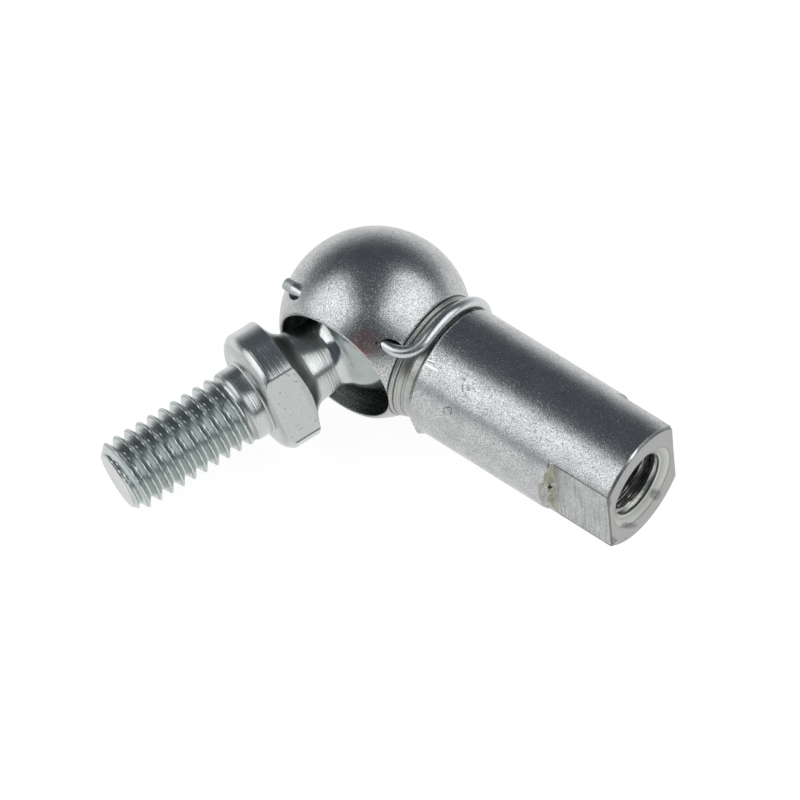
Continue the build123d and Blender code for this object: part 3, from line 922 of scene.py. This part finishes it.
def turned_zinc(looks):
    """Bright zinc plate on a turned stud with a rolled thread.

    It is smoother than the socket and a little blue-green, and the turned collar and neck show fine lines round
    the axis.
    """
    material, tree, shader = start_material("bright_turned_zinc_plate", 1.0, 0.22)
    size = settings().stud
    point = local_millimetres(tree, STUD_PLACE)
    height, radius, lathe = turned_coordinates(tree, point, 2)
    thread_start = size.seat_height + size.plain_length
    end = size.seat_height + size.thread_length
    cloud, grain, rings, seed = (
        add(tree, "TexNoise", {"Vector": place, "Scale": scale, "Detail": detail, "Roughness": mix})[0]
        for place, scale, detail, mix in (
            (point, 0.7, 4.0, 0.5), (point, 7.0, 3.0, 0.5), (lathe, 7.0, 3.0, 0.65), (point, 4.0, 2.0, 0.7)))
    pits = add(tree, "MapRange", {0: seed, 1: 0.68, 2: 0.76})[0]
    lathed = band(tree, height, size.waist_height, thread_start, 0.3)
    rolled = band(tree, height, thread_start, end - 0.25, 0.2)

    # the collar's flats, and their corners, which carry painted shade as thin dark lines
    across = (math.cos(size.flats_turn), math.sin(size.flats_turn), 0.0)
    beside = add(tree, "VectorMath", {0: point, 1: across}, operation="DOT_PRODUCT")["Value"]
    away = add(tree, "Math", {0: beside}, operation="ABSOLUTE")[0]
    level = band(tree, away, size.flats_across / 2 - 0.02, size.flats_across / 2 + 0.02, 0.02)
    level = add(tree, "Math", {0: level, 1: lathed}, operation="MULTIPLY")[0]
    rim = band(tree, radius, size.collar_radius - 0.07, size.collar_radius + 1.0, 0.03)
    corner = add(tree, "Math", {0: level, 1: rim}, operation="MULTIPLY")[0]

    # colour: soft clouds, the thread, the flats, painted shade on the ball inside the socket, cut faces, and painted
    # shade as thin dark lines on the thread's flanks and the flats' corners
    share = add(tree, "MapRange", {0: cloud, 1: 0.3, 2: 0.7})[0]
    colour = lay(tree, linear(looks.stud_light), looks.stud_dark, share)
    colour = lay(tree, colour, looks.thread_green, rolled)
    colour = lay(tree, colour, looks.stud_dark, level)
    # painted shade: the ball darkened where it sits in the socket's hollow
    colour = lay(tree, colour, looks.ball_shade, band(tree, height, -ENDLESS, 4.0, 0.3), 0.5)
    seat = zone(
        tree,
        (height, size.seat_height - 0.25, size.seat_height + 0.02, 0.1),
        (radius, 3.05, size.collar_radius - 0.2, 0.1))
    tip = band(tree, height, end - 0.04, ENDLESS, 0.04)
    share = add(tree, "Math", {0: seat, 1: tip}, operation="MAXIMUM")[0]
    colour = lay(tree, colour, looks.cut_face, share, 0.5)
    # painted shade: a thin dark line on the thread's flanks just below each crest
    flank_shade = band(tree, radius, size.thread_radius - 0.17, size.thread_radius - 0.07, 0.03)
    colour = lay(tree, colour, looks.speck_and_shade, flank_shade, rolled, 0.45)
    dots = add(tree, "MapRange", {0: seed, 1: 0.62, 2: 0.70})[0]
    share = add(tree, "Math", {0: dots, 1: level}, operation="MULTIPLY")[0]
    share = add(tree, "Math", {0: share, 1: pits}, operation="MAXIMUM")[0]
    share = add(tree, "Math", {0: share, 1: 0.6}, operation="MULTIPLY")[0]
    # painted shade: thin dark lines along the corners of the collar's flats
    share = add(tree, "Math", {0: corner, 1: 0.8, 2: share}, operation="MULTIPLY_ADD", use_clamp=True)[0]
    colour = lay(tree, colour, looks.speck_and_shade, share)
    tree.links.new(colour, shader.inputs["Base Color"])

    high = add(tree, "MapRange", {0: lathed, 3: 0.0015, 4: 0.026})[0]
    calm = add(tree, "MapRange", {0: level, 3: 1.0, 4: 0.05})[0]
    high = add(tree, "Math", {0: high, 1: calm}, operation="MULTIPLY")[0]
    rough = add(tree, "MapRange", {0: cloud, 1: 0.3, 2: 0.7, 3: 0.15, 4: 0.20})[0]
    flared = band(tree, height, size.neck_height + 0.1, size.collar_height - 0.05, 0.1)
    relief = ((grain, 0.004), (rings, high), (pits, -0.01))
    wire_metal(tree, shader, relief, rough, ((rolled, 0.11), (lathed, 0.06), (flared, 0.12)))
    return material


def drawn_wire(looks):
    """Zinc plate on drawn spring wire: smooth and bright, with faint unevenness of the plate and a dull sheared tip."""
    material, tree, shader = start_material("plated_spring_wire", 1.0, 0.28)
    point = local_millimetres(tree, SOCKET_PLACE)
    shader.inputs["Base Color"].default_value = linear(looks.clip_light)
    cloud = add(tree, "TexNoise", {"Vector": point, "Scale": 2.5, "Detail": 3.0})[0]
    grain = add(tree, "TexNoise", {"Vector": point, "Scale": 5.0, "Detail": 2.0})[0]
    rough = add(tree, "MapRange", {0: cloud, 1: 0.3, 2: 0.7, 3: 0.24, 4: 0.34})[0]
    station = add(tree, "SeparateXYZ", {0: point})[0]
    tip = band(tree, station, -ENDLESS, -4.9, 0.2)
    high = add(tree, "MapRange", {0: tip, 3: 0.006, 4: 0.05})[0]
    wire_metal(tree, shader, [(grain, high)], rough, [(tip, 0.3)])
    return material


def oiled_steel(looks):
    """Bare spring steel, hardened and oiled: dark and fairly smooth."""
    material, tree, shader = start_material("oiled_spring_steel", 1.0, 0.3)
    point = local_millimetres(tree, SOCKET_PLACE)
    shader.inputs["Base Color"].default_value = linear(looks.ring_dark)
    cloud = add(tree, "TexNoise", {"Vector": point, "Scale": 2.0})[0]
    rough = add(tree, "MapRange", {0: cloud, 1: 0.3, 2: 0.7, 3: 0.25, 4: 0.4})[0]
    tree.links.new(rough, shader.inputs["Roughness"])
    return material


def lit_opal(looks):
    """Opal acrylic sheet lit from below, the shadowless white table of a catalogue studio."""
    material, _, shader = start_material("lit_opal_acrylic", 0.0, 0.6)
    shader.inputs["Base Color"].default_value = linear(looks.floor)
    shader.inputs["Emission Color"].default_value = linear("FFFFFF")
    shader.inputs["Emission Strength"].default_value = FLOOR_GLOW
    return material


# ---------------------------------------------------------------- stage

# Angles in degrees. The camera's distance and aim are in millimetres, its scale in frame units for each of them.
CAMERA_AZIMUTH = -8.334
CAMERA_ELEVATION = 46.075
CAMERA_ROLL = -3.036
CAMERA_DISTANCE = 600.0
CAMERA_SCALE = 13.407
CAMERA_AIM = (1.810, -5.823)
FRAME_WIDTH = 800
SENSOR = 36.0
FLOOR_GLOW = 0.9
BOX_DISTANCE = 0.6
BOX_RADIANCE = 1.6
FLOOR_REACH = 3.0


def compass(azimuth, elevation):
    """Unit vector at a compass angle from +Y and a height angle, both in degrees."""
    a = math.radians(azimuth)
    e = math.radians(elevation)
    return Vector((math.sin(a) * math.cos(e), math.cos(a) * math.cos(e), math.sin(e)))


def add_camera():
    """Camera that looks at the joint from in front and above, with the ball up and left of the middle."""
    back = compass(CAMERA_AZIMUTH, CAMERA_ELEVATION) * Vector((-1, -1, 1))
    right = Vector((0, 0, 1)).cross(back).normalized()
    up = back.cross(right)
    roll = math.radians(CAMERA_ROLL)
    right, up = right * math.cos(roll) + up * math.sin(roll), up * math.cos(roll) - right * math.sin(roll)
    aim = Vector(BALL_CENTRE) + (right * CAMERA_AIM[0] + up * CAMERA_AIM[1]) * MM
    data = bpy.data.cameras.new("camera")
    data.sensor_width = SENSOR
    data.lens = CAMERA_SCALE * CAMERA_DISTANCE * SENSOR / FRAME_WIDTH
    data.clip_start = 0.01
    data.clip_end = 10.0
    camera = bpy.data.objects.new("camera", data)
    turn = Matrix((right, up, back)).transposed().to_4x4()
    camera.matrix_world = Matrix.Translation(aim + back * CAMERA_DISTANCE * MM) @ turn
    bpy.context.scene.collection.objects.link(camera)
    bpy.context.scene.camera = camera


def add_softbox(name, azimuth, elevation, wide, high, radiance):
    """Rectangular light that faces the joint from a compass angle and a height angle.

    wide and high are the angles that it fills, seen from the joint. All angles are in degrees. Its power is its
    radiance times its area times pi.
    """
    data = bpy.data.lights.new(name, "AREA")
    data.shape = "RECTANGLE"
    data.size = 2 * BOX_DISTANCE * math.tan(math.radians(wide / 2))
    data.size_y = 2 * BOX_DISTANCE * math.tan(math.radians(high / 2))
    data.energy = radiance * data.size * data.size_y * math.pi
    lamp = bpy.data.objects.new(name, data)
    away = compass(azimuth, elevation)
    turn = away.to_track_quat("Z", "Y").to_matrix().to_4x4()
    lamp.matrix_world = Matrix.Translation(away * BOX_DISTANCE) @ turn
    bpy.context.scene.collection.objects.link(lamp)


def add_world():
    """Dark studio with a white wall behind the table: bright low down at the back and dim elsewhere."""
    world = bpy.data.worlds.new("studio")
    bpy.context.scene.world = world
    world.use_nodes = True
    tree = world.node_tree
    tree.nodes.clear()
    way = add(tree, "TexCoord")["Generated"]
    parts = add(tree, "SeparateXYZ", {0: way})
    lift = add(tree, "Math", {0: parts[1], 1: -0.24, 2: 0.24}, operation="MULTIPLY_ADD")[0]
    high = add(tree, "Math", {0: parts[2], 1: lift}, operation="ADD")[0]
    share = add(tree, "MapRange", {0: high, 1: 0.0, 2: 0.5}, interpolation_type="SMOOTHSTEP")[0]
    colour = lay(tree, linear("D2D3D4"), "565C63", share)
    shade = add(tree, "Background", {"Color": colour, "Strength": 1.0})[0]
    add(tree, "OutputWorld", {"Surface": shade})


def add_floor(material):
    """Wide flat table under the joint."""
    corners = [(x * FLOOR_REACH, y * FLOOR_REACH, 0) for x, y in ((-1, -1), (1, -1), (1, 1), (-1, 1))]
    mesh = bpy.data.meshes.new("floor")
    mesh.from_pydata(corners, [], [(0, 1, 2, 3)])
    new_piece("floor", mesh, material)


# ---------------------------------------------------------------- operators

class BALLJOINT_OT_stage(bpy.types.Operator):
    """Add the lit table, the two softboxes and the camera"""
    bl_idname = "ball_joint.stage"
    bl_label = "Stage"

    def execute(self, context):
        add_world()
        add_floor(lit_opal(settings().looks))
        add_softbox("left_box", -106.0, 37.0, 54.0, 52.0, BOX_RADIANCE)
        add_softbox("right_box", 101.0, 44.5, 66.0, 54.0, BOX_RADIANCE)
        add_camera()
        context.scene.view_settings.view_transform = "Standard"
        return {"FINISHED"}


class BALLJOINT_OT_socket(bpy.types.Operator):
    """Build the socket: round head, neck and tapped shank"""
    bl_idname = "ball_joint.socket"
    bl_label = "Socket"

    def execute(self, context):
        piece = make_socket(settings().socket, tumbled_zinc(settings().looks))
        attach(piece, "socket")
        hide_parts("ball_socket")
        return {"FINISHED"}


class BALLJOINT_OT_stud(bpy.types.Operator):
    """Build the ball stud: ball, neck, flatted collar and thread"""
    bl_idname = "ball_joint.stud"
    bl_label = "Ball stud"

    def execute(self, context):
        piece = make_stud(settings().stud, turned_zinc(settings().looks))
        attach(piece, "stud")
        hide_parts("ball_stud")
        return {"FINISHED"}


class BALLJOINT_OT_wires(bpy.types.Operator):
    """Bend the safety clip and the snap ring"""
    bl_idname = "ball_joint.wires"
    bl_label = "Clip and ring"

    def execute(self, context):
        size = settings().clip
        socket = settings().socket
        points = tube(clip_path(size, socket), size.wire_radius, 40, 0.12)
        mesh = grid_mesh("wire_clip", points, SOCKET_PLACE)
        smooth(mesh, WIRE_CRISP)
        clip = new_piece("wire_clip", mesh, drawn_wire(settings().looks))
        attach(clip, "clip")
        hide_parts("safety_clip")
        points = tube(ring_path(size, socket), size.ring_wire, 24, 0.1)
        mesh = grid_mesh("wire_ring", points, SOCKET_PLACE)
        smooth(mesh, WIRE_CRISP)
        ring = new_piece("wire_ring", mesh, oiled_steel(settings().looks))
        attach(ring, "ring")
        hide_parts("snap_ring")
        return {"FINISHED"}


class BALLJOINT_PT_sidebar(bpy.types.Panel):
    """Buttons that build the ball joint"""
    bl_label = "Ball joint"
    bl_idname = "BALLJOINT_PT_sidebar"
    bl_space_type = "VIEW_3D"
    bl_region_type = "UI"
    bl_category = "Ball joint"

    def draw(self, context):
        for operator in OPERATORS:
            self.layout.operator(operator.bl_idname)


OPERATORS = (BALLJOINT_OT_stage, BALLJOINT_OT_socket, BALLJOINT_OT_stud, BALLJOINT_OT_wires)
CLASSES = (SocketSizes, StudSizes, ClipSizes, JointLooks, JointSettings) + OPERATORS + (BALLJOINT_PT_sidebar,)


def register():
    """Register the classes and hang the settings on the scene."""
    for cls in CLASSES:
        bpy.utils.register_class(cls)
    bpy.types.Scene.ball_joint = PointerProperty(type=JointSettings)


def unregister():
    """Take the settings and the classes away again."""
    del bpy.types.Scene.ball_joint
    for cls in reversed(CLASSES):
        bpy.utils.unregister_class(cls)


def main():
    """Build the stage and every piece."""
    register()
    bpy.ops.ball_joint.stage()
    bpy.ops.ball_joint.socket()
    bpy.ops.ball_joint.stud()
    bpy.ops.ball_joint.wires()


if __name__ == "__main__":
    main()
